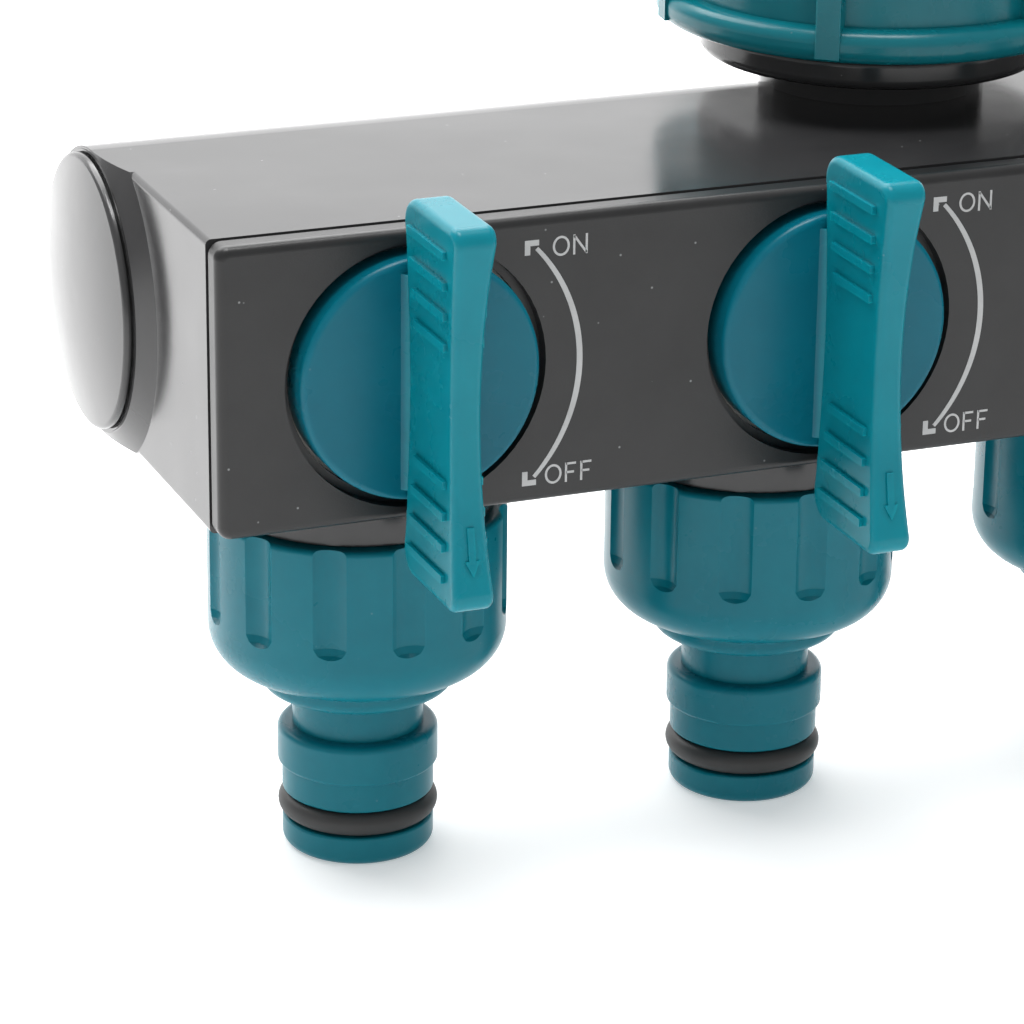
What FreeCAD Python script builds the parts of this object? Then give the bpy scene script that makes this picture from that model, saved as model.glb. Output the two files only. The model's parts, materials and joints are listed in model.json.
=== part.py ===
"""Four-way garden hose splitter: a black manifold with four quarter-plug valves.

Frame, in millimetres: +X runs along the manifold, +Z points up and out of the inlet, and the valve
levers face -Y.  Z = 0 is the plane of the four nipple tips that the splitter stands on, X = 0 is the
inlet axis, and Y = 0 is halfway between the front of the levers and the back of the inlet nut.
"""
import FreeCAD, Part
import os
import Sketcher

Vector = FreeCAD.Vector
Rotation = FreeCAD.Rotation
Placement = FreeCAD.Placement

SIZES = {
    # manifold housing
    "box_length": 174.6, "box_height": 30.0, "box_bottom": 42.0, "axis_height": 57.0,
    "panel_front": -22.43, "panel_back": -19.33, "edge_round": 0.6,
    "gallery_axis": 14.57, "gallery_outer": 15.0, "gallery_bore": 11.0,
    "end_cone_radius": 17.6, "end_cone_top": 14.9, "end_cone_reach": 1.4,
    "end_collar_radius": 14.7, "end_collar_reach": 1.5,
    "hollow_reach": 3.0,
    # valve seats in the housing
    "outlet_spacing": 44.6, "outlet_row": -5.03,
    "chamber_radius": 11.0, "chamber_back": 0.77, "feed_port_radius": 7.0,
    "flange_seat_radius": 13.5, "flange_seat_back": -17.53,
    "outlet_bore": 5.8, "seat_recess_radius": 7.6, "seat_recess_floor": 44.5, "seat_recess_top": 49.6,
    "water_way_top": 41.0,
    # front panel
    "panel_side_gap": 0.1, "panel_round": 1.0, "panel_seam": 0.55,
    "dial_recess_radius": 13.6, "dial_recess_depth": 1.6, "dial_hole_radius": 12.8,
    # lever knob, measured from the knob's axis and the front of the panel
    "dial_radius": 12.45, "dial_reach": 1.6, "dial_back": 3.25, "dial_round": 0.7,
    "lever_reach": 16.7, "lever_mid_reach": 13.7, "lever_hollow_radius": 69.6,
    "lever_foot": 1.6, "lever_half": 19.2,
    "lever_end_width": 4.5, "lever_waist_width": 3.1, "lever_waist_radius": 263.0,
    "lever_front_corner": 1.6, "lever_back_corner": 3.0, "lever_edge": 0.75, "lever_root": 0.7,
    "grip_first": 16.2, "grip_pitch": 3.1, "grip_width": 0.8, "grip_spread": 5.0, "grip_taper": 0.27,
    "grip_front": 13.3, "grip_back": 3.7, "grip_shortening": 0.25,
    "arrow_tip": 15.4, "arrow_head": 1.5, "arrow_length": 4.7, "arrow_half_head": 0.75,
    "arrow_half_shaft": 0.35, "arrow_root": 13.0, "arrow_depth": 4.0, "arrow_height": 0.2,
    "stem_width": 8.0, "stem_back": 8.6,
    # valve plug, measured from the knob's axis and the front of the panel
    "plug_radius": 10.93, "plug_back": 22.9, "plug_flange_radius": 13.2, "plug_flange_back": 4.7,
    "plug_bore": 7.0, "plug_bore_floor": 10.4, "plug_groove_radius": 9.4,
    "plug_groove_front": 5.9, "plug_groove_back": 7.8, "socket_width": 8.2, "socket_back": 8.75,
    "plug_port_radius": 5.2, "plug_port_depth": 17.4,
    "plug_seal_section": 0.75, "plug_seal_radius": 10.2,
    # rubber seat between a valve plug and its outlet
    "seat_outer": 7.5, "seat_inner": 5.0, "seat_saddle": 11.0,
    # threaded outlet stub
    "stub_shoulder_radius": 14.1, "stub_shoulder_bottom": 38.2, "stub_root": 12.0, "stub_crest": 13.1,
    "stub_bottom": 25.6, "stub_thread_first": 27.2, "tap_pitch": 1.814,
    "ridge_crest_width": 0.3, "ridge_root_width": 1.45,
    # outlet connector, measured up from the nipple tip
    "connector_top": 38.0, "connector_radius": 15.5, "connector_shoulder": 20.4,
    "connector_shoulder_round": 4.6, "connector_rim_round": 0.6,
    "tier_radius": 10.2, "tier_bottom": 17.9, "tier_round": 1.2, "neck_radius": 6.86, "neck_flare": 1.1,
    "collar_radius": 8.4, "collar_bottom": 9.3, "collar_top": 13.6, "collar_round": 0.8, "collar_lip_round": 0.3,
    "barrel_radius": 7.95, "groove_radius": 5.75, "groove_bottom": 3.2, "groove_top": 6.1,
    "tip_radius": 7.95, "tip_round": 1.1, "nipple_bore": 4.6, "water_way": 8.0,
    "female_root": 13.4, "female_crest": 12.3, "washer_floor": 23.6, "female_thread_first": 28.107,
    "flute_count": 12, "flute_radius": 2.6, "flute_depth": 0.75, "flute_bottom": 27.4,
    "nipple_ring_section": 1.3, "nipple_ring_radius": 7.08, "nipple_ring_height": 4.65,
    "tap_washer_outer": 12.9, "tap_washer_thickness": 2.0,
    # inlet neck, spigot, swivel nut and washer
    "inlet_neck_radius": 12.3, "inlet_flange_radius": 18.9, "inlet_flange_bottom": 75.2,
    "inlet_flange_top": 78.8, "inlet_flange_round": 1.1, "spigot_socket": 10.2, "spigot_socket_floor": 69.6,
    "inlet_bore": 8.0, "spigot_tube": 12.2, "spigot_collar_radius": 14.5,
    "spigot_collar_bottom": 83.2, "spigot_collar_top": 86.2,
    "nut_bottom": 79.1, "nut_top": 103.1, "nut_web_top": 82.8, "nut_web_hole": 12.6,
    "nut_rim_radius": 23.8, "nut_rim_height": 3.6, "nut_rim_round": 1.5, "nut_wall_radius": 21.6,
    "nut_cavity": 16.9, "nut_minor": 15.15, "nut_pitch": 2.309, "nut_thread_first": 90.4,
    "nut_ridge_crest": 0.4, "nut_ridge_root": 2.0,
    "nut_rib_count": 6, "nut_rib_width": 2.6, "nut_rib_phase": 52.0, "nut_rib_radius": 24.0,
    "nut_rib_root": 20.5, "nut_top_rim_height": 2.4,
    "inlet_washer_outer": 15.0, "inlet_washer_inner": 9.3, "inlet_washer_thickness": 2.8,
    # end caps, measured outwards from the end of the box
    "cap_radius": 14.4, "cap_seat": 1.8, "cap_rim": 2.4, "cap_face": 3.6, "cap_face_radius": 7.2,
    "cap_land_radius": 13.6, "cap_face_round": 80.0, "cap_rim_round": 0.5,
    "cap_plug_radius": 10.9, "cap_plug_reach": 9.0, "cap_plug_bore": 8.4, "cap_floor": -0.8,
    "cap_groove_radius": 9.5, "cap_groove_near": -3.4, "cap_groove_far": -5.2,
    "cap_seal_section": 0.7, "cap_seal_radius": 10.25,
}
OUTLET_COUNT = 4
TAP_RIDGES = 5
GRIP_COUNT = 4
NUT_RIDGES = 6

doc = FreeCAD.newDocument("hose_splitter")
sheet = doc.addObject("Spreadsheet::Sheet", "Sizes")
for row, (alias, size) in enumerate(SIZES.items(), start=1):
    sheet.set(f"A{row}", alias)
    sheet.set(f"B{row}", str(size))
    sheet.setAlias(f"B{row}", alias)
doc.recompute()

nodes = []


# ---------------------------------------------------------------- sizes and bindings
def is_number(word):
    return word.lstrip("-").replace(".", "", 1).isdigit()


def amount(rule):
    """The value of a rule: a sum of cells, numbers and products, such as "rim + 0.5 * gap"."""
    total, sign, product = 0.0, 1.0, 1.0
    for word in rule.split():
        if word in "+-":
            total += sign * product
            sign, product = (1.0 if word == "+" else -1.0), 1.0
        elif word != "*":
            product *= float(word) if is_number(word) else float(sheet.get(word))
    return total + sign * product


def formula(rule):
    """The same rule written as an expression on the sheet."""
    return " ".join(w if w in "+-*" or is_number(w) else f"Sizes.{w}" for w in rule.split())


def bind(item, **rules):
    """Bind each named property, with "_base_x" and the like meaning Placement.Base.x."""
    for name, rule in rules.items():
        path = name.replace("base_", "Placement.Base.") if name.startswith("base_") else name
        item.setExpression(path, formula(rule))
    return item


def row_place(index):
    """X of one outlet, as a rule: the outlets are spaced evenly about the inlet axis."""
    return f"{index - (OUTLET_COUNT - 1) / 2} * outlet_spacing"


def at_outlet(item, index, y_rule="outlet_row", z_rule="0"):
    """Place an item on one outlet's axis."""
    return bind(item, base_x=row_place(index), base_y=y_rule, base_z=z_rule)


def keep(item, label):
    """Name a finished sub-part; its label is its node name."""
    item.Label = label
    nodes.append(item)
    return item


# ---------------------------------------------------------------- sketches and bodies
def new_body(name):
    return doc.addObject("PartDesign::Body", name)


def origin_plane(body, role):
    return next(f for f in body.Origin.OriginFeatures if f.Role == role)


def new_sketch(body, name, role, offset_rule=None):
    """A sketch on one of the body's own origin planes, moved along its normal by the offset."""
    sketch = body.newObject("Sketcher::SketchObject", name)
    sketch.AttachmentSupport = [(origin_plane(body, role), "")]
    sketch.MapMode = "FlatFace"
    if offset_rule:
        sketch.AttachmentOffset = Placement(Vector(0, 0, amount(offset_rule)), Rotation())
        sketch.setExpression("AttachmentOffset.Base.z", formula(offset_rule))
    return sketch


def pin_coordinate(sketch, kind, edge, end, rule):
    """Hold one coordinate of a vertex on a rule, or on the axis when the rule is 0."""
    if rule == "0":
        axis = -2 if kind == "DistanceX" else -1
        sketch.addConstraint(Sketcher.Constraint("PointOnObject", edge, end, axis))
        return
    row = sketch.addConstraint(Sketcher.Constraint(kind, -1, 1, edge, end, amount(rule)))
    sketch.setExpression(f"Constraints[{row}]", formula(rule))


def draw_outline(sketch, corners):
    """A closed outline of straight edges through corners given as pairs of rules."""
    first = sketch.GeometryCount
    points = [Vector(amount(x), amount(y), 0) for x, y in corners]
    for here, there in zip(points, points[1:] + points[:1]):
        sketch.addGeometry(Part.LineSegment(here, there), False)
    for step, (x_rule, y_rule) in enumerate(corners):
        before = first + (step - 1) % len(corners)
        sketch.addConstraint(Sketcher.Constraint("Coincident", before, 2, first + step, 1))
        pin_coordinate(sketch, "DistanceX", first + step, 1, x_rule)
        pin_coordinate(sketch, "DistanceY", first + step, 1, y_rule)


def draw_circle(sketch, x_rule, y_rule, radius_rule):
    edge = sketch.addGeometry(Part.Circle(Vector(amount(x_rule), amount(y_rule), 0), Vector(0, 0, 1),
                                          amount(radius_rule)), False)
    pin_coordinate(sketch, "DistanceX", edge, 3, x_rule)
    pin_coordinate(sketch, "DistanceY", edge, 3, y_rule)
    row = sketch.addConstraint(Sketcher.Constraint("Radius", edge, amount(radius_rule)))
    sketch.setExpression(f"Constraints[{row}]", formula(radius_rule))


def turned(name, corners, role="XZ_Plane", axis="V_Axis"):
    """A body turned from an outline of (radius, height) corners."""
    body = new_body(name)
    sketch = new_sketch(body, f"{name}_outline", role)
    draw_outline(sketch, corners)
    turn = body.newObject("PartDesign::Revolution", f"{name}_turn")
    turn.Profile = sketch
    turn.ReferenceAxis = (sketch, [axis])
    turn.Angle = 360
    body.Tip = turn
    return body


def pad(body, sketch, length_rule, midplane=False, backwards=False):
    feature = body.newObject("PartDesign::Pad", f"{sketch.Name}_pad")
    feature.Profile = sketch
    feature.Midplane = midplane
    feature.Reversed = backwards
    feature.Length = amount(length_rule)
    bind(feature, Length=length_rule)
    body.Tip = feature
    return feature


def pocket(body, sketch, length_rule=None, midplane=False, backwards=False):
    """A pocket of the given depth, or right through; it has to take material away."""
    doc.recompute()
    before = body.Shape.Volume
    feature = body.newObject("PartDesign::Pocket", f"{sketch.Name}_pocket")
    feature.Profile = sketch
    feature.Midplane = midplane
    feature.Reversed = backwards
    if length_rule is None:
        feature.Type = "ThroughAll"
    else:
        feature.Length = amount(length_rule)
        bind(feature, Length=length_rule)
    body.Tip = feature
    doc.recompute()
    if body.Shape.Volume > before - 1e-3:
        raise RuntimeError(f"{feature.Name} cuts nothing")
    return feature


def edge_names(shape, wanted):
    """Names of the edges that a test function accepts."""
    return [f"Edge{n}" for n, edge in enumerate(shape.Edges, start=1) if wanted(edge)]


def round_edges(body, name, radius_rule, wanted, kind="Fillet"):
    """Round or chamfer the accepted edges of the body's last feature."""
    doc.recompute()
    base = body.Tip
    names = edge_names(base.Shape, wanted)
    if not names:
        raise RuntimeError(f"{name} finds no edge")
    feature = body.newObject(f"PartDesign::{kind}", name)
    feature.Base = (base, names)
    prop = "Radius" if kind == "Fillet" else "Size"
    setattr(feature, prop, amount(radius_rule))
    bind(feature, **{prop: radius_rule})
    body.Tip = feature
    return feature


def ring_edge(*rims):
    """Accepts the circular edges about Z with one of the given (radius, height) rules."""
    sizes = [(amount(r), amount(z)) for r, z in rims]

    def wanted(edge):
        curve = edge.Curve
        if not isinstance(curve, Part.Circle) or abs(abs(curve.Axis.z) - 1) > 1e-6:
            return False
        return any(abs(curve.Radius - r) < 1e-4 and abs(curve.Center.z - z) < 1e-4 for r, z in sizes)
    return wanted


def spin_pattern(body, feature, name, count_rule, role_axis="Z_Axis"):
    """Repeat a feature evenly about the body's axis."""
    pattern = body.newObject("PartDesign::PolarPattern", name)
    pattern.Originals = [feature]
    pattern.Axis = (next(f for f in body.Origin.OriginFeatures if f.Role == role_axis), [""])
    pattern.Angle = 360
    pattern.Occurrences = int(amount(count_rule))
    bind(pattern, Occurrences=count_rule)
    body.Tip = pattern
    return pattern


# ---------------------------------------------------------------- solids by primitives
def cylinder(name, radius_rule, height_rule, direction="z"):
    """A plain cylinder along +X, +Y or +Z."""
    item = doc.addObject("Part::Cylinder", name)
    turn = {"x": Rotation(Vector(0, 1, 0), 90), "y": Rotation(Vector(1, 0, 0), -90), "z": Rotation()}
    item.Placement = Placement(Vector(), turn[direction])
    return bind(item, Radius=radius_rule, Height=height_rule)


def torus(label, radius_rule, section_rule, direction="z"):
    item = doc.addObject("Part::Torus", label)
    turn = {"x": Rotation(Vector(0, 1, 0), 90), "y": Rotation(Vector(1, 0, 0), -90), "z": Rotation()}
    item.Placement = Placement(Vector(), turn[direction])
    return bind(item, Radius1=radius_rule, Radius2=section_rule)


def fuse(name, parts):
    item = doc.addObject("Part::MultiFuse", name)
    item.Shapes = parts
    item.Refine = True
    return item


def cut(name, base, tool):
    item = doc.addObject("Part::Cut", name)
    item.Base = base
    item.Tool = tool
    return item


def common(name, first, second):
    item = doc.addObject("Part::MultiCommon", name)
    item.Shapes = [first, second]
    return item


def ridges(first_rule, count, pitch, root, crest, crest_width, root_width):
    """Corners of closed thread ridges, upwards along a wall from its first ridge."""
    corners = []
    for turn in range(count):
        middle = f"{first_rule} + {turn} * {pitch}"
        corners.append((root, f"{middle} - 0.5 * {root_width}"))
        corners.append((crest, f"{middle} - 0.5 * {crest_width}"))
        corners.append((crest, f"{middle} + 0.5 * {crest_width}"))
        corners.append((root, f"{middle} + 0.5 * {root_width}"))
    return corners


# ---------------------------------------------------------------- housing
def end_outline(reach_rule, name):
    """The box and the half-round gallery wall behind it, longer than the box by a reach at each end."""
    length = f"box_length + 2 * {reach_rule}"
    start = f"-0.5 * box_length - {reach_rule}"
    box = doc.addObject("Part::Box", f"{name}_box")
    bind(box, Length=length, Width="gallery_axis - panel_back", Height="box_height",
         base_x=start, base_y="panel_back", base_z="box_bottom")
    tube = cylinder(f"{name}_tube", "gallery_outer", length, "x")
    bind(tube, base_x=start, base_y="gallery_axis", base_z="axis_height")
    return fuse(name, [box, tube])


def along_gallery(name, radius_rule, reach_rule):
    """A cylinder on the gallery's axis, longer than the box by a reach at each end."""
    item = cylinder(name, radius_rule, f"box_length + 2 * {reach_rule}", "x")
    return bind(item, base_x=f"-0.5 * box_length - {reach_rule}", base_y="gallery_axis", base_z="axis_height")


def end_cones():
    """A bar on the gallery's axis that tapers beyond the box to a cone round each end collar."""
    left, right = "-0.5 * box_length", "0.5 * box_length"
    body = turned("end_cones", [
        (f"{left} - end_cone_reach", "0"), (f"{left} - end_cone_reach", "end_cone_top"),
        (left, "end_cone_radius"), (right, "end_cone_radius"),
        (f"{right} + end_cone_reach", "end_cone_top"), (f"{right} + end_cone_reach", "0")], axis="H_Axis")
    return bind(body, base_y="gallery_axis", base_z="axis_height")


def outlet_stub(index):
    """The shoulder and the closed thread ridges that one outlet connector screws on to."""
    corners = [("0", "stub_bottom"), ("stub_root", "stub_bottom")]
    corners += ridges("stub_thread_first", TAP_RIDGES, "tap_pitch", "stub_root", "stub_crest",
                      "ridge_crest_width", "ridge_root_width")
    corners += [("stub_root", "stub_shoulder_bottom"), ("stub_shoulder_radius", "stub_shoulder_bottom"),
                ("stub_shoulder_radius", "box_bottom + 1"), ("0", "box_bottom + 1")]
    return at_outlet(turned(f"stub_{index + 1}", corners), index)


def inlet_neck():
    """The short neck and the flange that the swivel nut turns above."""
    body = turned("inlet_neck", [
        ("0", "axis_height"), ("inlet_neck_radius", "axis_height"),
        ("inlet_neck_radius", "inlet_flange_bottom"), ("inlet_flange_radius", "inlet_flange_bottom"),
        ("inlet_flange_radius", "inlet_flange_top"), ("0", "inlet_flange_top")])
    round_edges(body, "flange_round", "inlet_flange_round", ring_edge(
        ("inlet_flange_radius", "inlet_flange_bottom"), ("inlet_flange_radius", "inlet_flange_top")))
    return bind(body, base_y="gallery_axis")


def valve_cavities(index):
    """The hollows of one valve: plug chamber, flange seat, feed port, rubber seat and outlet way."""
    chamber = cylinder(f"chamber_{index + 1}", "chamber_radius", "chamber_back - panel_back + 1", "y")
    flange_seat = cylinder(f"flange_seat_{index + 1}", "flange_seat_radius",
                           "flange_seat_back - panel_back + 1", "y")
    feed_port = cylinder(f"feed_port_{index + 1}", "feed_port_radius", "gallery_axis - panel_back", "y")
    for item in (chamber, flange_seat):
        at_outlet(item, index, "panel_back - 1", "axis_height")
    at_outlet(feed_port, index, "panel_back", "axis_height")
    recess = cylinder(f"seat_recess_{index + 1}", "seat_recess_radius", "seat_recess_top - seat_recess_floor")
    at_outlet(recess, index, z_rule="seat_recess_floor")
    outlet = cylinder(f"outlet_way_{index + 1}", "outlet_bore", "axis_height - stub_bottom")
    at_outlet(outlet, index, z_rule="stub_bottom")
    stub_bore = cylinder(f"stub_bore_{index + 1}", "water_way", "water_way_top - stub_bottom + 1")
    at_outlet(stub_bore, index, z_rule="stub_bottom - 1")
    return [chamber, flange_seat, feed_port, recess, outlet, stub_bore]


def make_housing():
    shell = end_outline("0", "shell")
    doc.recompute()
    half_length = amount("0.5 * box_length")
    outline = [n for n, edge in enumerate(shell.Shape.Edges, start=1)
               if all(abs(abs(v.X) - half_length) < 1e-3 for v in edge.Vertexes)
               and edge.BoundBox.YMax > amount("panel_back") + 1e-3]
    soft_shell = doc.addObject("Part::Fillet", "soft_shell")
    soft_shell.Base = shell
    soft_shell.Edges = [(n, amount("edge_round"), amount("edge_round")) for n in outline]
    cone = common("end_cones_trimmed", end_cones(), end_outline("end_cone_reach", "end_cone_limit"))
    collar = along_gallery("end_collar", "end_collar_radius", "end_collar_reach")
    stubs = [outlet_stub(index) for index in range(OUTLET_COUNT)]
    solid = fuse("housing_solid", [soft_shell, cone, collar, inlet_neck()] + stubs)
    hollows = [along_gallery("gallery_hollow", "gallery_bore", "hollow_reach")]
    socket = cylinder("spigot_hollow", "spigot_socket", "inlet_flange_top - spigot_socket_floor + 1")
    hollows.append(bind(socket, base_y="gallery_axis", base_z="spigot_socket_floor"))
    inlet = cylinder("inlet_hollow", "inlet_bore", "spigot_socket_floor - axis_height + 1")
    hollows.append(bind(inlet, base_y="gallery_axis", base_z="axis_height"))
    for index in range(OUTLET_COUNT):
        hollows += valve_cavities(index)
    keep(cut("housing", solid, fuse("housing_hollows", hollows)), "housing")


# ---------------------------------------------------------------- front panel
def make_front_panel():
    body = new_body("front_panel_body")
    outline = new_sketch(body, "panel_outline", "XZ_Plane")
    left, right = "-0.5 * box_length + panel_side_gap", "0.5 * box_length - panel_side_gap"
    low, high = "panel_side_gap", "box_height - panel_side_gap"
    draw_outline(outline, [(left, low), (right, low), (right, high), (left, high)])
    pad(body, outline, "panel_back - panel_front", backwards=True)
    thickness = amount("panel_back - panel_front")
    round_edges(body, "panel_corners", "panel_round + 0.3",
                lambda e: abs(e.Length - thickness) < 1e-6 and e.BoundBox.YLength > 1)
    round_edges(body, "panel_face_round", "panel_round", lambda e: e.BoundBox.YMax < 1e-6)
    round_edges(body, "panel_seam", "panel_seam", lambda e: e.BoundBox.YMin > thickness - 1e-6, "Chamfer")
    recess = new_sketch(body, "dial_recesses", "XZ_Plane")
    hole = new_sketch(body, "dial_holes", "XZ_Plane")
    for index in range(OUTLET_COUNT):
        draw_circle(recess, row_place(index), "axis_height - box_bottom", "dial_recess_radius")
        draw_circle(hole, row_place(index), "axis_height - box_bottom", "dial_hole_radius")
    pocket(body, recess, "dial_recess_depth", backwards=False)
    pocket(body, hole, "2 * panel_back - 2 * panel_front", midplane=True)
    bind(body, base_y="panel_front", base_z="box_bottom")
    keep(body, "front_panel")


# ---------------------------------------------------------------- valves
def lever_bar(body):
    """The lever: a long bar with slanted ends, a narrow waist, soft edges and grip ribs."""
    side = new_sketch(body, f"{body.Name}_side", "YZ_Plane")
    draw_outline(side, [("-1 * lever_reach", "-1 * lever_half"), ("-1 * lever_reach", "lever_half"),
                        ("-1 * lever_foot", "lever_half"), ("-1 * lever_foot", "-1 * lever_half")])
    pad(body, side, "lever_end_width", midplane=True)
    hollow = new_sketch(body, f"{body.Name}_hollow", "YZ_Plane")
    draw_circle(hollow, "-1 * lever_mid_reach - lever_hollow_radius", "0", "lever_hollow_radius")
    pocket(body, hollow, "3 * lever_end_width", midplane=True)
    front_y = -amount("lever_reach")
    round_edges(body, f"{body.Name}_front_corners", "lever_front_corner",
                lambda e: e.BoundBox.XLength > 1 and e.BoundBox.YMax < front_y + 1)
    round_edges(body, f"{body.Name}_back_corners", "lever_back_corner",
                lambda e: e.BoundBox.XLength > 1 and e.BoundBox.YMin > -amount("lever_foot") - 0.1)
    waist = new_sketch(body, f"{body.Name}_waist", "XZ_Plane")
    for side_sign in ("", "-"):
        draw_circle(waist, f"{side_sign}0.5 * lever_waist_width + {side_sign}1 * lever_waist_radius",
                    "0", "lever_waist_radius")
    pocket(body, waist, "3 * lever_reach", midplane=True)

    def outline_edge(edge):
        box = edge.BoundBox
        on_side = box.XLength < 1 and abs(edge.CenterOfMass.x) > 1
        return on_side and not (box.ZLength < 1e-3 and box.YLength > 5)
    round_edges(body, f"{body.Name}_edges", "lever_edge", outline_edge)
    for step in range(GRIP_COUNT):
        grips = new_sketch(body, f"{body.Name}_grips_{step + 1}", "YZ_Plane")
        back = f"-1 * grip_back - {step} * grip_shortening"
        front = f"-1 * grip_front + {step} * grip_shortening"
        for end in ("", "-"):
            middle = f"{end}1 * grip_first - {end}{step} * grip_pitch"
            low, high = f"{middle} - 0.5 * grip_width", f"{middle} + 0.5 * grip_width"
            draw_outline(grips, [(front, low), (back, low), (back, high), (front, high)])
        pad(body, grips, f"grip_spread - {step} * grip_taper", midplane=True)


def lever_arrow(name):
    """The small arrow that stands just proud of the lever's hollow front."""
    body = new_body(name)
    arrow = new_sketch(body, f"{name}_outline", "XZ_Plane", "arrow_root")
    neck, tail = "-1 * arrow_tip + arrow_head", "-1 * arrow_tip + arrow_length"
    draw_outline(arrow, [("0", "-1 * arrow_tip"), ("arrow_half_head", neck), ("arrow_half_shaft", neck),
                         ("arrow_half_shaft", tail), ("-1 * arrow_half_shaft", tail),
                         ("-1 * arrow_half_shaft", neck), ("-1 * arrow_half_head", neck)])
    pad(body, arrow, "arrow_depth")
    front = cylinder(f"{name}_front", "lever_hollow_radius - arrow_height", "2 * lever_end_width", "x")
    bind(front, base_x="-1 * lever_end_width", base_y="-1 * lever_mid_reach - lever_hollow_radius")
    return cut(f"{name}_trimmed", body, front)


def make_lever_knob(index):
    """One moulding: the lever bar, the round dial under it and the square stem that turns the plug."""
    bar = new_body(f"lever_{index + 1}")
    lever_bar(bar)
    root = new_sketch(bar, f"{bar.Name}_root", "XY_Plane")
    left, right = "-0.5 * lever_waist_width", "0.5 * lever_waist_width"
    draw_outline(root, [
        (f"{left} - lever_root", "-1 * dial_reach"), (f"{right} + lever_root", "-1 * dial_reach"),
        (right, "-1 * dial_reach - lever_root"), (left, "-1 * dial_reach - lever_root")])
    pad(bar, root, "2 * dial_radius - 4 * lever_root", midplane=True)
    dial = turned(f"dial_{index + 1}", [
        ("0", "-1 * dial_reach"), ("dial_radius", "-1 * dial_reach"),
        ("dial_radius", "dial_back"), ("0", "dial_back")], "XY_Plane")
    front = -amount("dial_reach")
    round_edges(dial, f"{dial.Name}_soft", "dial_round",
                lambda e: isinstance(e.Curve, Part.Circle) and abs(e.Curve.Center.y - front) < 1e-4)
    stem = new_sketch(dial, f"{dial.Name}_stem", "XZ_Plane", "-1 * dial_back")
    half = "0.5 * stem_width"
    draw_outline(stem, [(f"-{half}", f"-{half}"), (half, f"-{half}"), (half, half), (f"-{half}", half)])
    pad(dial, stem, "stem_back - dial_back", backwards=True)
    knob = fuse(f"lever_knob_solid_{index + 1}", [bar, dial, lever_arrow(f"lever_arrow_{index + 1}")])
    keep(at_outlet(knob, index, "panel_front", "axis_height"), f"lever_knob_{index + 1}")


def make_valve_plug(index):
    """A hollow quarter-turn plug: fed from behind, with one port that faces up when it is shut."""
    body = turned(f"plug_{index + 1}", [
        ("0", "dial_back"), ("plug_flange_radius", "dial_back"), ("plug_flange_radius", "plug_flange_back"),
        ("plug_radius", "plug_flange_back"), ("plug_radius", "plug_groove_front"),
        ("plug_groove_radius", "plug_groove_front"), ("plug_groove_radius", "plug_groove_back"),
        ("plug_radius", "plug_groove_back"), ("plug_radius", "plug_back"), ("plug_bore", "plug_back"),
        ("plug_bore", "plug_bore_floor"), ("0", "plug_bore_floor")], "XY_Plane")
    socket = new_sketch(body, f"{body.Name}_socket", "XZ_Plane", "-1 * dial_back")
    half = "0.5 * socket_width"
    draw_outline(socket, [(f"-{half}", f"-{half}"), (half, f"-{half}"), (half, half), (f"-{half}", half)])
    pocket(body, socket, "socket_back - dial_back")
    port = new_sketch(body, f"{body.Name}_port", "XY_Plane")
    draw_circle(port, "0", "plug_port_depth", "plug_port_radius")
    pocket(body, port, "plug_radius + 1", backwards=True)
    keep(at_outlet(body, index, "panel_front", "axis_height"), f"valve_plug_{index + 1}")


def make_plug_seal(index):
    ring = torus(f"plug_ring_{index + 1}", "plug_seal_radius", "plug_seal_section", "y")
    at_outlet(ring, index, "panel_front + 0.5 * plug_groove_front + 0.5 * plug_groove_back", "axis_height")
    keep(ring, f"plug_seal_{index + 1}")


def make_valve_seat(index):
    """A rubber ring in the outlet's recess, hollowed on top to bear on the round plug."""
    height = "seat_recess_top - seat_recess_floor"
    outer = cylinder(f"seat_outer_{index + 1}", "seat_outer", height)
    inner = cylinder(f"seat_inner_{index + 1}", "seat_inner", height)
    saddle = cylinder(f"seat_saddle_{index + 1}", "seat_saddle", "chamber_back - panel_back", "y")
    for item in (outer, inner):
        at_outlet(item, index, z_rule="seat_recess_floor")
    at_outlet(saddle, index, "panel_back + 2", "axis_height")
    tools = fuse(f"seat_hollows_{index + 1}", [inner, saddle])
    keep(cut(f"seat_{index + 1}", outer, tools), f"valve_seat_{index + 1}")


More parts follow.
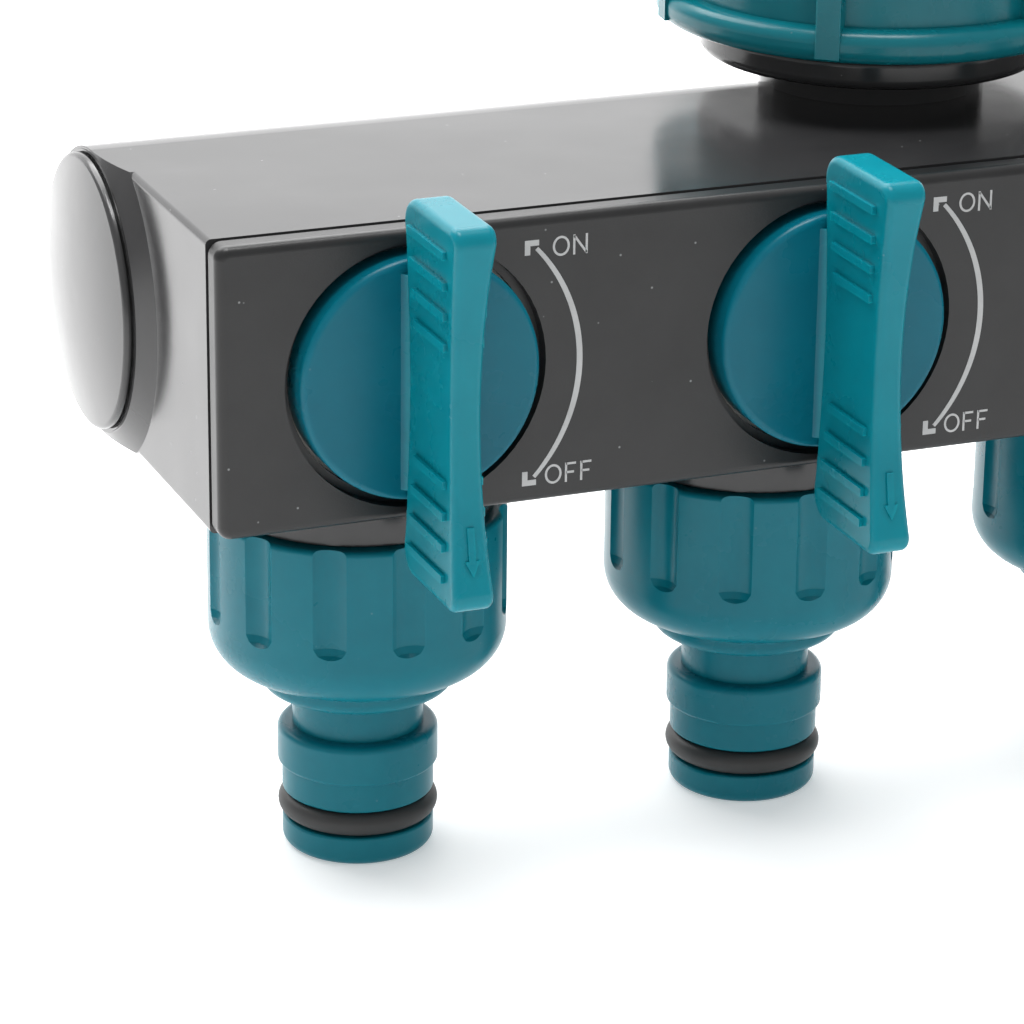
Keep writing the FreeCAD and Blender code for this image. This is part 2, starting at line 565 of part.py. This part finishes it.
# ---------------------------------------------------------------- outlet connectors
def make_outlet_connector(index):
    corners = [
        ("nipple_bore", "0"), ("tip_radius", "0"), ("tip_radius", "groove_bottom"),
        ("groove_radius", "groove_bottom"), ("groove_radius", "groove_top"), ("barrel_radius", "groove_top"),
        ("barrel_radius", "collar_bottom"), ("collar_radius", "collar_bottom"),
        ("collar_radius", "collar_top"), ("neck_radius", "collar_top"), ("neck_radius", "tier_bottom"),
        ("tier_radius", "tier_bottom"), ("tier_radius", "connector_shoulder"),
        ("connector_radius", "connector_shoulder"), ("connector_radius", "connector_top"),
        ("female_root", "connector_top")]
    thread = ridges("female_thread_first", TAP_RIDGES, "tap_pitch", "female_root", "female_crest",
                    "ridge_crest_width", "ridge_root_width")
    corners += thread[::-1] + [("female_root", "washer_floor"), ("nipple_bore", "washer_floor")]
    body = turned(f"connector_{index + 1}", corners)
    rounds = {
        "shoulder": ("connector_shoulder_round", [("connector_radius", "connector_shoulder")]),
        "rim": ("connector_rim_round", [("connector_radius", "connector_top")]),
        "tier": ("tier_round", [("tier_radius", "tier_bottom")]),
        "flare": ("neck_flare", [("neck_radius", "tier_bottom")]),
        "collar": ("collar_round", [("collar_radius", "collar_top")]),
        "collar_lip": ("collar_lip_round", [("collar_radius", "collar_bottom"),
                                            ("barrel_radius", "groove_top"), ("tip_radius", "groove_bottom")]),
        "tip": ("tip_round", [("tip_radius", "0")]),
    }
    for name, (radius, rims) in rounds.items():
        round_edges(body, f"{body.Name}_{name}", radius, ring_edge(*rims))
    flute = new_sketch(body, f"{body.Name}_flute", "XZ_Plane")
    flute.AttachmentOffset = Placement(Vector(amount("connector_radius + flute_radius - flute_depth"), 0, 0),
                                       Rotation())
    flute.setExpression("AttachmentOffset.Base.x", formula("connector_radius + flute_radius - flute_depth"))
    draw_outline(flute, [
        ("0", "connector_top + 1"), ("-1 * flute_radius", "connector_top + 1"),
        ("-1 * flute_radius", "flute_bottom"), ("-0.88 * flute_radius", "flute_bottom - 0.7"),
        ("-0.6 * flute_radius", "flute_bottom - 1.3"), ("0", "flute_bottom - 1.6")])
    groove = body.newObject("PartDesign::Groove", f"{body.Name}_flute_cut")
    groove.Profile = flute
    groove.ReferenceAxis = (flute, ["V_Axis"])
    groove.Angle = 360
    body.Tip = groove
    spin_pattern(body, groove, f"{body.Name}_flutes", "flute_count")
    keep(at_outlet(body, index), f"outlet_connector_{index + 1}")


def make_tap_washer(index):
    body = turned(f"tap_washer_body_{index + 1}", [
        ("water_way", "washer_floor"), ("tap_washer_outer", "washer_floor"),
        ("tap_washer_outer", "washer_floor + tap_washer_thickness"),
        ("water_way", "washer_floor + tap_washer_thickness")])
    keep(at_outlet(body, index), f"connector_washer_{index + 1}")


def make_nipple_ring(index):
    ring = torus(f"nipple_ring_{index + 1}", "nipple_ring_radius", "nipple_ring_section")
    keep(at_outlet(ring, index, z_rule="nipple_ring_height"), f"nipple_o_ring_{index + 1}")


# ---------------------------------------------------------------- inlet
def make_inlet_spigot():
    """The pressed-in tube whose collar holds the swivel nut above the flange."""
    body = turned("spigot", [
        ("inlet_bore", "spigot_socket_floor"), ("spigot_socket", "spigot_socket_floor"),
        ("spigot_socket", "inlet_flange_top"), ("spigot_tube", "inlet_flange_top"),
        ("spigot_tube", "spigot_collar_bottom"), ("spigot_collar_radius", "spigot_collar_bottom"),
        ("spigot_collar_radius", "spigot_collar_top"), ("inlet_bore", "spigot_collar_top")])
    keep(bind(body, base_y="gallery_axis"), "inlet_spigot")


def make_inlet_nut():
    corners = [
        ("nut_web_hole", "nut_bottom"), ("nut_rim_radius", "nut_bottom"),
        ("nut_rim_radius", "nut_bottom + nut_rim_height"), ("nut_wall_radius", "nut_bottom + nut_rim_height"),
        ("nut_wall_radius", "nut_top - nut_top_rim_height"), ("nut_rim_radius", "nut_top - nut_top_rim_height"),
        ("nut_rim_radius", "nut_top"), ("nut_cavity", "nut_top")]
    thread = ridges("nut_thread_first", NUT_RIDGES, "nut_pitch", "nut_cavity", "nut_minor",
                    "nut_ridge_crest", "nut_ridge_root")
    corners += thread[::-1] + [("nut_cavity", "nut_web_top"), ("nut_web_hole", "nut_web_top")]
    body = turned("swivel_nut", corners)
    round_edges(body, "nut_rim_soft", "nut_rim_round", ring_edge(
        ("nut_rim_radius", "nut_bottom"), ("nut_rim_radius", "nut_bottom + nut_rim_height")))
    round_edges(body, "nut_top_soft", "0.5 * nut_rim_round", ring_edge(
        ("nut_rim_radius", "nut_top"), ("nut_rim_radius", "nut_top - nut_top_rim_height")))
    rib = new_sketch(body, "nut_rib", "XY_Plane", "nut_bottom + 0.4 * nut_rim_round")
    half = "0.5 * nut_rib_width"
    draw_outline(rib, [("nut_rib_root", f"-{half}"), ("nut_rib_radius", f"-{half}"),
                       ("nut_rib_radius", half), ("nut_rib_root", half)])
    rib_pad = pad(body, rib, "nut_top - nut_bottom - 0.8 * nut_rim_round")
    spin_pattern(body, rib_pad, "nut_ribs", "nut_rib_count")
    body.Placement.Rotation = Rotation(Vector(0, 0, 1), amount("nut_rib_phase"))
    body.setExpression("Placement.Rotation.Angle", formula("nut_rib_phase"))
    keep(bind(body, base_y="gallery_axis"), "inlet_nut")


def make_inlet_washer():
    body = turned("inlet_washer_body", [
        ("inlet_washer_inner", "spigot_collar_top"), ("inlet_washer_outer", "spigot_collar_top"),
        ("inlet_washer_outer", "spigot_collar_top + inlet_washer_thickness"),
        ("inlet_washer_inner", "spigot_collar_top + inlet_washer_thickness")])
    keep(bind(body, base_y="gallery_axis"), "inlet_washer")


# ---------------------------------------------------------------- end caps
def make_end_cap(side, turn_degrees, sign):
    body = turned(f"{side}_cap", [
        ("cap_face", "0"), ("cap_face", "cap_face_radius"), ("cap_rim", "cap_radius"),
        ("cap_seat", "cap_radius"), ("cap_seat", "cap_land_radius"), ("end_collar_reach", "cap_land_radius"),
        ("end_collar_reach", "cap_plug_radius"), ("cap_groove_near", "cap_plug_radius"),
        ("cap_groove_near", "cap_groove_radius"), ("cap_groove_far", "cap_groove_radius"),
        ("cap_groove_far", "cap_plug_radius"), ("-1 * cap_plug_reach", "cap_plug_radius"),
        ("-1 * cap_plug_reach", "cap_plug_bore"), ("cap_floor", "cap_plug_bore"), ("cap_floor", "0")],
        axis="H_Axis")

    def rim_edge(x_rule, radius_rule):
        return lambda e: (isinstance(e.Curve, Part.Circle) and abs(e.Curve.Radius - amount(radius_rule)) < 1e-4
                          and abs(e.Curve.Center.x - amount(x_rule)) < 1e-4)
    round_edges(body, f"{side}_cap_face_soft", "cap_face_round", rim_edge("cap_face", "cap_face_radius"))
    round_edges(body, f"{side}_cap_rim_soft", "cap_rim_round", rim_edge("cap_rim", "cap_radius"))
    body.Placement.Rotation = Rotation(Vector(0, 0, 1), turn_degrees)
    bind(body, base_x=f"{sign}0.5 * box_length", base_y="gallery_axis", base_z="axis_height")
    keep(body, f"{side}_end_cap")
    ring = torus(f"{side}_cap_ring", "cap_seal_radius", "cap_seal_section", "x")
    bind(ring, base_x=f"{sign}0.5 * box_length + {sign}0.5 * cap_groove_near + {sign}0.5 * cap_groove_far",
         base_y="gallery_axis", base_z="axis_height")
    keep(ring, f"{side}_cap_o_ring")


# ---------------------------------------------------------------- build, check and export
make_housing()
make_front_panel()
make_end_cap("left", 180, "-")
make_end_cap("right", 0, "")
make_inlet_spigot()
make_inlet_nut()
make_inlet_washer()
for outlet in range(OUTLET_COUNT):
    make_lever_knob(outlet)
    make_valve_plug(outlet)
    make_plug_seal(outlet)
    make_valve_seat(outlet)
    make_outlet_connector(outlet)
    make_tap_washer(outlet)
    make_nipple_ring(outlet)
doc.recompute()

for item in doc.Objects:
    if "Invalid" in item.State or "Error" in item.State:
        raise RuntimeError(f"{item.Name} ({item.Label}) failed: {item.State}")
for item in nodes:
    if item.Shape.isNull() or not item.Shape.isValid() or not item.Shape.Solids:
        raise RuntimeError(f"{item.Label} has no valid solid")

os.makedirs("parts", exist_ok=True)
for item in nodes:
    item.Shape.exportStep(os.path.join("parts", f"{item.Label}.step"))
    size = item.Shape.BoundBox
    print(f"{item.Label:22s} {len(item.Shape.Solids)} solid, {item.Shape.Volume / 1000:8.3f} cm3, "
          f"x {size.XMin:7.2f} {size.XMax:7.2f}  y {size.YMin:7.2f} {size.YMax:7.2f}  "
          f"z {size.ZMin:7.2f} {size.ZMax:7.2f}")
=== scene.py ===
"""Looks of the hose splitter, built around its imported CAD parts. Metres, in the part's own frame.

The splitter stands on its four hose nipples on a pale floor. The CAD parts keep their shapes and
get moulded-plastic and rubber materials, and the printed dial marks are added on the front panel.
"""

import json
import math

import bmesh
import bpy
from mathutils import Matrix, Vector


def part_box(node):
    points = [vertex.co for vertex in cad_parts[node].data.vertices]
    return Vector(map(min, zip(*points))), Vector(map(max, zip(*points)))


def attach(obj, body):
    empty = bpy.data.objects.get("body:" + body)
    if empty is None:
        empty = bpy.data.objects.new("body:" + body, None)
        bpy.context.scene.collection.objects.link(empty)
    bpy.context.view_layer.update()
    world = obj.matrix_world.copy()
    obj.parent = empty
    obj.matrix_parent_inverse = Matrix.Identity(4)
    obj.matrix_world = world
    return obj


MM = 0.001
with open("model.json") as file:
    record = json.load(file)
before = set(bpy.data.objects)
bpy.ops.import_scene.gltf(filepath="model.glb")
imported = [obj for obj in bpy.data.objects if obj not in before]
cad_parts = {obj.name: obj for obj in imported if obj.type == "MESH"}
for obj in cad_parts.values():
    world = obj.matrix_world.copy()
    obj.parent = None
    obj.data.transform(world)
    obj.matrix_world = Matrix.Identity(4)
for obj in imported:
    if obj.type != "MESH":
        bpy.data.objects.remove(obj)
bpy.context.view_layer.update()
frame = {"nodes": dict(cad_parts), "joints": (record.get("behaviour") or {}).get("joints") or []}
nodes = frame["nodes"]
panel_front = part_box("front_panel")[0].y


# ---------------------------------------------------------------- shader nodes

# The colour sockets of a Mix node, which shares their names with sockets for numbers and vectors.
MIX_FIRST, MIX_SECOND, MIX_RESULT = 6, 7, 2


def link(tree, source, output, target, socket):
    """Joins an output of one shader node to an input of another."""
    tree.links.new(source.outputs[output], target.inputs[socket])


def new_node(tree, kind, **inputs):
    """A shader node with its inputs set, by name with _ for a space."""
    node = tree.nodes.new(kind)
    for name, value in inputs.items():
        node.inputs[name.replace("_", " ")].default_value = value
    return node


def noise(tree, coordinates, scale, detail=2.0, roughness=0.5):
    """A noise texture in object coordinates; its scale is per metre."""
    node = new_node(tree, "ShaderNodeTexNoise", Scale=scale, Detail=detail, Roughness=roughness)
    link(tree, coordinates, "Object", node, "Vector")
    return node


def grey(value):
    """A colour with the same red, green and blue."""
    return (value, value, value)


def ramp(tree, source, output, low, high, first, last):
    """Maps a value between two limits onto two colours."""
    node = tree.nodes.new("ShaderNodeValToRGB")
    for element, place, colour in zip(node.color_ramp.elements, (low, high), (first, last)):
        element.position = place
        element.color = (*colour, 1.0)
    link(tree, source, output, node, "Fac")
    return node


def colour_mix(tree, first, factor, factor_output, second, blend="MIX"):
    """Mixes a colour output with a fixed colour; gives the mixed colour's output."""
    node = tree.nodes.new("ShaderNodeMix")
    node.data_type = "RGBA"
    node.blend_type = blend
    node.inputs[MIX_SECOND].default_value = (*second, 1.0)
    tree.links.new(first, node.inputs[MIX_FIRST])
    link(tree, factor, factor_output, node, "Factor")
    return node.outputs[MIX_RESULT]


# ---------------------------------------------------------------- plastics and rubber

# Texture scales are per metre: a scale of 140 gives features about 7 mm across.
CLOUD_SCALE = 140.0
SPECK_SCALE = 330.0
SPECK_COLOUR = (0.35, 0.36, 0.36)
SMEAR_SCALE = 45.0
SINK_SCALE = 26.0
RIPPLE_SCALE = 160.0
RIPPLE_DEPTH = 0.02 * MM
GRAIN_SCALE = 5200.0
GRAIN_DEPTH = 0.0012 * MM
PLASTIC_IOR = 1.5
GLOW_RADIUS = (0.2, 1.0, 1.0)
GLOW_DEPTH = 1.2 * MM
# How softly the painted shade on the dials sets in at its plane.
PAINTED_SHADE_SOFTNESS = 0.15 * MM


def pigment(tree, coordinates, colour, shade, dust):
    """Cloudy pigment between two colours, with fine pale specks; gives a colour output."""
    clouds = noise(tree, coordinates, CLOUD_SCALE, 4.0, 0.6)
    cloudy = ramp(tree, clouds, "Fac", 0.3, 0.7, colour, shade)
    specks = new_node(tree, "ShaderNodeTexVoronoi", Scale=SPECK_SCALE)
    link(tree, coordinates, "Object", specks, "Vector")
    spots = ramp(tree, specks, "Distance", 0.02, 0.05, grey(dust), grey(0.0))
    return cloudy.outputs["Color"], spots


def paint_shade_behind(tree, coordinates, base, plane, painted_shade):
    """Paints shade: multiplies the colour by a darker colour wherever the surface lies behind a plane of
    constant Y.
    """
    place = tree.nodes.new("ShaderNodeSeparateXYZ")
    link(tree, coordinates, "Object", place, "Vector")
    depth = new_node(tree, "ShaderNodeMapRange",
                     From_Min=plane - PAINTED_SHADE_SOFTNESS, From_Max=plane + PAINTED_SHADE_SOFTNESS)
    link(tree, place, "Y", depth, "Value")
    return colour_mix(tree, base, depth, "Result", painted_shade, "MULTIPLY")


def relief(tree, coordinates, layers):
    """Bumps laid over one another, each as (scale, detail, roughness, depth); gives the last one."""
    below = None
    for scale, detail, roughness, depth in layers:
        bump = new_node(tree, "ShaderNodeBump", Strength=1.0, Distance=depth)
        link(tree, noise(tree, coordinates, scale, detail, roughness), "Fac", bump, "Height")
        if below:
            link(tree, below, "Normal", bump, "Normal")
        below = bump
    return below


def moulded(name, colour, shade, rough, grain=1.0, ripple=1.0, sink=0.0, dust=0.0, level=0.5, weight=0.0,
            behind=None):
    """Moulded plastic or rubber: cloudy pigment, uneven gloss, fine grain, slow ripples and specks.

    rough holds the lowest and highest roughness. grain and ripple scale the two fine reliefs, and
    sink is the depth of the broad one in mm. level is the strength of the reflections, and weight
    the share of light that passes under the surface. behind holds a plane and the painted shade past it.
    """
    material = bpy.data.materials.new(name)
    material.use_nodes = True
    tree = material.node_tree
    tree.nodes.clear()
    shader = new_node(tree, "ShaderNodeBsdfPrincipled", Roughness=rough[0], IOR=PLASTIC_IOR,
                      Specular_IOR_Level=level, Subsurface_Weight=weight,
                      Subsurface_Radius=GLOW_RADIUS, Subsurface_Scale=GLOW_DEPTH)
    output = tree.nodes.new("ShaderNodeOutputMaterial")
    link(tree, shader, "BSDF", output, "Surface")
    coordinates = tree.nodes.new("ShaderNodeTexCoord")

    base, spots = pigment(tree, coordinates, colour, shade, dust)
    # Painted shade: the colour is darkened past the plane given in behind.
    if behind:
        base = paint_shade_behind(tree, coordinates, base, *behind)
    dusty = colour_mix(tree, base, spots, "Color", SPECK_COLOUR)
    tree.links.new(dusty, shader.inputs["Base Color"])

    smears = noise(tree, coordinates, SMEAR_SCALE, 5.0, 0.65)
    gloss = ramp(tree, smears, "Fac", 0.3, 0.75, grey(rough[0]), grey(rough[1]))
    link(tree, gloss, "Color", shader, "Roughness")

    surface = relief(tree, coordinates, [
        (SINK_SCALE, 2.0, 0.6, sink * MM),
        (RIPPLE_SCALE, 1.0, 0.5, RIPPLE_DEPTH * ripple),
        (GRAIN_SCALE, 2.0, 0.5, GRAIN_DEPTH * grain)])
    link(tree, surface, "Normal", shader, "Normal")
    return material


# The levers' dials lie behind this plane. Painted shade makes them darker and bluer than the bars in front of
# it, standing for the shade that the lever and the recess cast on them.
DIAL_PLANE = panel_front - 1.9 * MM
DIAL_PAINTED_SHADE = (1.0, 0.66, 0.74)
TEAL_SKIN = {"ripple": 0.8, "sink": 0.1, "dust": 0.15}

FINISHES = {
    "black_body": moulded("body_plastic", (0.026, 0.026, 0.027), (0.033, 0.033, 0.034), (0.13, 0.22),
                          grain=1.5, ripple=0.6, sink=0.35, dust=0.5, level=0.44),
    "black_panel": moulded("panel_plastic", (0.014, 0.014, 0.0145), (0.019, 0.019, 0.0195), (0.28, 0.36),
                           grain=9.0, ripple=0.6, sink=0.1, dust=0.6, level=0.38),
    "black_cap": moulded("cap_plastic", (0.030, 0.030, 0.031), (0.036, 0.036, 0.037), (0.16, 0.26),
                         grain=1.0, ripple=0.6, sink=0.1, dust=0.4),
    # The spigot plastic is about twice as light as the body's black plastic. This is painted light on the
    # inlet spigot, which the lamps light too little.
    "black_spigot": moulded("spigot_plastic_painted_light", (0.055, 0.055, 0.056), (0.066, 0.066, 0.067), (0.28, 0.36),
                            grain=1.2, ripple=0.6),
    # The lever plastic carries painted shade: its dials, behind the dial plane, are darkened and made bluer
    # to stand for the shade of the lever and its recess.
    "teal_lever": moulded("lever_plastic_and_painted_shade", (0.0005, 0.180, 0.232), (0.001, 0.205, 0.258), (0.24, 0.34),
                          grain=2.5, level=0.2, weight=0.35, behind=(DIAL_PLANE, DIAL_PAINTED_SHADE), **TEAL_SKIN),
    "teal_connector": moulded("connector_plastic", (0.001, 0.132, 0.176), (0.002, 0.152, 0.198), (0.24, 0.34),
                              grain=2.0, level=0.2, weight=0.3, **TEAL_SKIN),
    "teal_nut": moulded("nut_plastic", (0.001, 0.140, 0.175), (0.002, 0.160, 0.195), (0.22, 0.32),
                        grain=2.0, level=0.3, weight=0.3, **TEAL_SKIN),
    "white_plug": moulded("plug_acetal", (0.62, 0.61, 0.57), (0.70, 0.69, 0.65), (0.35, 0.45)),
    "black_rubber": moulded("seal_rubber", (0.020, 0.020, 0.020), (0.028, 0.028, 0.028), (0.45, 0.60),
                            grain=3.0, ripple=0.3),
}

for item in nodes.values():
    for held in item.material_slots:
        slot_name = held.material.name.split(".")[0]
        held.material = FINISHES.get(slot_name, FINISHES["black_body"])


# ---------------------------------------------------------------- printed dial marks

# Sizes and places of the marks, across and up from the dial's centre.
MARK_RADIUS = 17.25 * MM
MARK_TURN = math.radians(43.5)
MARK_STEPS = 48
MARK_SHIFT = Vector((0.05 * MM, 0.25 * MM))
MARK_NARROW = 0.42 * MM
MARK_SWELL = 0.20 * MM
HEAD_ARM = 1.5 * MM
HEAD_THICK = 0.58 * MM
UPPER_HEAD = (11.2 * MM, 12.5 * MM)
LOWER_HEAD = (11.2 * MM, -13.0 * MM)
UPPER_WORD = (14.15 * MM, 10.6 * MM)
LOWER_WORD = (13.65 * MM, -13.1 * MM)
LETTER_HEIGHT = 2.05 * MM
LETTER_WIDTHS = {"O": 1.8 * MM, "N": 1.55 * MM, "F": 1.3 * MM}
LETTER_GAP = 0.36 * MM
LETTER_PEN = 0.23 * MM
SHORT_BAR = 0.2 * MM
RING_STEPS = 32
INK_HEIGHT = 0.03 * MM


def ribbon(mesh, points, widths, closed=False):
    """Adds a flat stroke through points in the panel's plane, as (across, up) in metres."""
    count = len(points)
    rails = []
    for index, point in enumerate(points):
        before = points[index - 1] if closed or index else point
        after = points[(index + 1) % count] if closed or index < count - 1 else point
        run = (after - before).normalized()
        side = Vector((-run.y, run.x)) * widths[index] / 2
        rails.append([mesh.verts.new((p.x, 0.0, p.y)) for p in (point + side, point - side)])
    steps = count if closed else count - 1
    for index in range(steps):
        (a, b), (c, d) = rails[index], rails[(index + 1) % count]
        mesh.faces.new((a, b, d, c))


def arc_points(middle, radii, start, end, steps):
    """Points along an arc or ellipse."""
    turns = [start + (end - start) * k / steps for k in range(steps + 1)]
    return [middle + Vector((radii[0] * math.cos(t), radii[1] * math.sin(t))) for t in turns]


def draw_letter(mesh, letter, left, foot):
    """Adds one capital letter as thin strokes."""
    half = LETTER_PEN / 2
    x0, x1 = left + half, left + LETTER_WIDTHS[letter] - half
    z0, z1 = foot + half, foot + LETTER_HEIGHT - half
    if letter == "O":
        middle = Vector(((x0 + x1) / 2, (z0 + z1) / 2))
        radii = ((x1 - x0) / 2, (z1 - z0) / 2)
        ring = arc_points(middle, radii, 0, 2 * math.pi, RING_STEPS)[:-1]
        ribbon(mesh, ring, [LETTER_PEN] * len(ring), closed=True)
        return
    left_stem = ((x0, z0 - half), (x0, z1 + half))
    right_stem = ((x1, z0 - half), (x1, z1 + half))
    middle_bar = ((x0, (z0 + z1) / 2), (x1 - SHORT_BAR, (z0 + z1) / 2))
    strokes = {
        "N": [left_stem, ((x0, z1), (x1, z0)), right_stem],
        "F": [left_stem, ((x0, z1), (x1, z1)), middle_bar],
    }
    for start, end in strokes[letter]:
        ribbon(mesh, [Vector(start), Vector(end)], [LETTER_PEN, LETTER_PEN])


def write(mesh, word, place):
    """Adds a word of capital letters."""
    left, foot = place
    for letter in word:
        draw_letter(mesh, letter, left, foot)
        left += LETTER_WIDTHS[letter] + LETTER_GAP


def arrow_head(mesh, corner, way):
    """Adds a square arrow head: two arms meeting at its outer corner. way is 1 for up, -1 for down."""
    outline = [(0, 0), (HEAD_ARM, 0), (HEAD_ARM, HEAD_THICK),
               (HEAD_THICK, HEAD_THICK), (HEAD_THICK, HEAD_ARM), (0, HEAD_ARM)]
    mesh.faces.new([mesh.verts.new((corner[0] + a, 0.0, corner[1] - way * b)) for a, b in outline])


def turn_arc(mesh):
    """Adds the arc between the two arrow heads, widest in its middle."""
    arc = arc_points(Vector((0, 0)), (MARK_RADIUS, MARK_RADIUS), -MARK_TURN, MARK_TURN, MARK_STEPS)
    shares = [k / MARK_STEPS for k in range(MARK_STEPS + 1)]
    widths = [MARK_NARROW + MARK_SWELL * math.cos(math.pi * (share - 0.5)) for share in shares]
    ribbon(mesh, [point - MARK_SHIFT for point in arc], widths)


def raise_ink(mesh, across, up):
    """Thickens the flat strokes and moves them onto the panel, beside a dial's centre."""
    shape = bmesh.ops.extrude_face_region(mesh, geom=mesh.faces[:])
    raised = [item for item in shape["geom"] if isinstance(item, bmesh.types.BMVert)]
    bmesh.ops.translate(mesh, verts=raised, vec=(0, -INK_HEIGHT, 0))
    bmesh.ops.translate(mesh, verts=mesh.verts, vec=(across, panel_front, up))
    bmesh.ops.recalc_face_normals(mesh, faces=mesh.faces)


def print_marks(name, across, up, ink):
    """Makes the arc, the arrow heads and the words beside one dial as a piece of its own."""
    mesh = bmesh.new()
    turn_arc(mesh)
    arrow_head(mesh, UPPER_HEAD, 1)
    arrow_head(mesh, LOWER_HEAD, -1)
    write(mesh, "ON", UPPER_WORD)
    write(mesh, "OFF", LOWER_WORD)
    raise_ink(mesh, across, up)
    data = bpy.data.meshes.new(name)
    mesh.to_mesh(data)
    mesh.free()
    marks = bpy.data.objects.new(name, data)
    bpy.context.collection.objects.link(marks)
    data.materials.append(ink)
    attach(marks, "manifold")


mark_ink = moulded("mark_ink", (0.40, 0.40, 0.40), (0.50, 0.50, 0.50), (0.45, 0.6), grain=4.0)
valve_joints = [joint for joint in frame["joints"] if joint["name"].startswith("valve_lever")]
for number, joint in enumerate(valve_joints, 1):
    dial_x, _, dial_z = joint["pos_m"]
    print_marks(f"dial_marks_{number}", dial_x, dial_z, mark_ink)


# ---------------------------------------------------------------- floor and light

FLOOR_SIZE = 12.0
FLOOR_TONES = (0.84, 0.87)
FLOOR_MOTTLE_SCALE = 8.0
FLOOR_GLOW = 0.42


def pale_floor():
    """A wide matt white floor with a faint mottle."""
    bpy.ops.mesh.primitive_plane_add(size=FLOOR_SIZE, location=(0, 0, 0))
    floor = bpy.context.object
    floor.name = "floor"
    material = bpy.data.materials.new("floor_white")
    material.use_nodes = True
    tree = material.node_tree
    shader = tree.nodes["Principled BSDF"]
    shader.inputs["Roughness"].default_value = 0.8
    shader.inputs["Specular IOR Level"].default_value = 0.2
    shader.inputs["Emission Strength"].default_value = FLOOR_GLOW
    coordinates = tree.nodes.new("ShaderNodeTexCoord")
    mottle = noise(tree, coordinates, FLOOR_MOTTLE_SCALE, 3.0)
    tone = ramp(tree, mottle, "Fac", 0.2, 0.8, grey(FLOOR_TONES[0]), grey(FLOOR_TONES[1]))
    link(tree, tone, "Color", shader, "Base Color")
    link(tree, tone, "Color", shader, "Emission Color")
    floor.data.materials.append(material)


def softbox(name, place, aim, size, power):
    """A rectangular studio light that the camera doesn't see."""
    light = bpy.data.lights.new(name, "AREA")
    light.shape = "RECTANGLE"
    light.size, light.size_y = size
    light.energy = power
    holder = bpy.data.objects.new(name, light)
    holder.location = place
    holder.rotation_mode = "QUATERNION"
    holder.rotation_quaternion = (Vector(aim) - Vector(place)).to_track_quat("-Z", "Y")
    holder.visible_camera = False
    bpy.context.collection.objects.link(holder)


def studio_world(strength):
    """Even white light from all round."""
    world = bpy.data.worlds.new("studio")
    world.use_nodes = True
    background = world.node_tree.nodes["Background"]
    background.inputs["Color"].default_value = (1.0, 1.0, 1.0, 1.0)
    background.inputs["Strength"].default_value = strength
    return world


pale_floor()
softbox("rear_softbox", (0.15, 0.85, 0.42), (0.0, 0.0, 0.02), (1.9, 0.9), 7.0)
softbox("rear_floor_softbox", (-0.12, 0.42, 0.62), (-0.1, 0.2, 0.0), (0.8, 0.5), 7.0)
softbox("key_softbox", (-0.05, -0.05, 0.75), (-0.02, 0.0, 0.05), (0.35, 0.25), 3.6)

scene = bpy.context.scene
scene.view_settings.view_transform = "Standard"
scene.world = studio_world(0.55)


# ---------------------------------------------------------------- camera

# Azimuth is measured from the splitter's front towards its left-hand end.
CAMERA_AIM = Vector((-0.05673, -0.02243, 0.041423))
CAMERA_AZIMUTH = math.radians(21.978)
CAMERA_ELEVATION = math.radians(20.671)
CAMERA_ROLL = math.radians(0.641)
CAMERA_DISTANCE = 0.414408
CAMERA_LENS = 146.098
CAMERA_SENSOR = 36.0
CAMERA_NEAREST = 0.01


def photo_camera():
    """The camera, looking at its aim from the given angles, turned a little about its line of sight."""
    look = Vector((math.sin(CAMERA_AZIMUTH) * math.cos(CAMERA_ELEVATION),
                   math.cos(CAMERA_AZIMUTH) * math.cos(CAMERA_ELEVATION),
                   -math.sin(CAMERA_ELEVATION)))
    level = look.cross(Vector((0, 0, 1))).normalized()
    roll = Matrix.Rotation(-CAMERA_ROLL, 3, look)
    right, up = roll @ level, roll @ level.cross(look)
    data = bpy.data.cameras.new("camera")
    data.sensor_width = CAMERA_SENSOR
    data.lens = CAMERA_LENS
    data.clip_start = CAMERA_NEAREST
    camera = bpy.data.objects.new("camera", data)
    bpy.context.collection.objects.link(camera)
    place = CAMERA_AIM - CAMERA_DISTANCE * look
    camera.matrix_world = Matrix((
        (right.x, up.x, -look.x, place.x),
        (right.y, up.y, -look.y, place.y),
        (right.z, up.z, -look.z, place.z),
        (0, 0, 0, 1)))
    return camera


scene.camera = photo_camera()
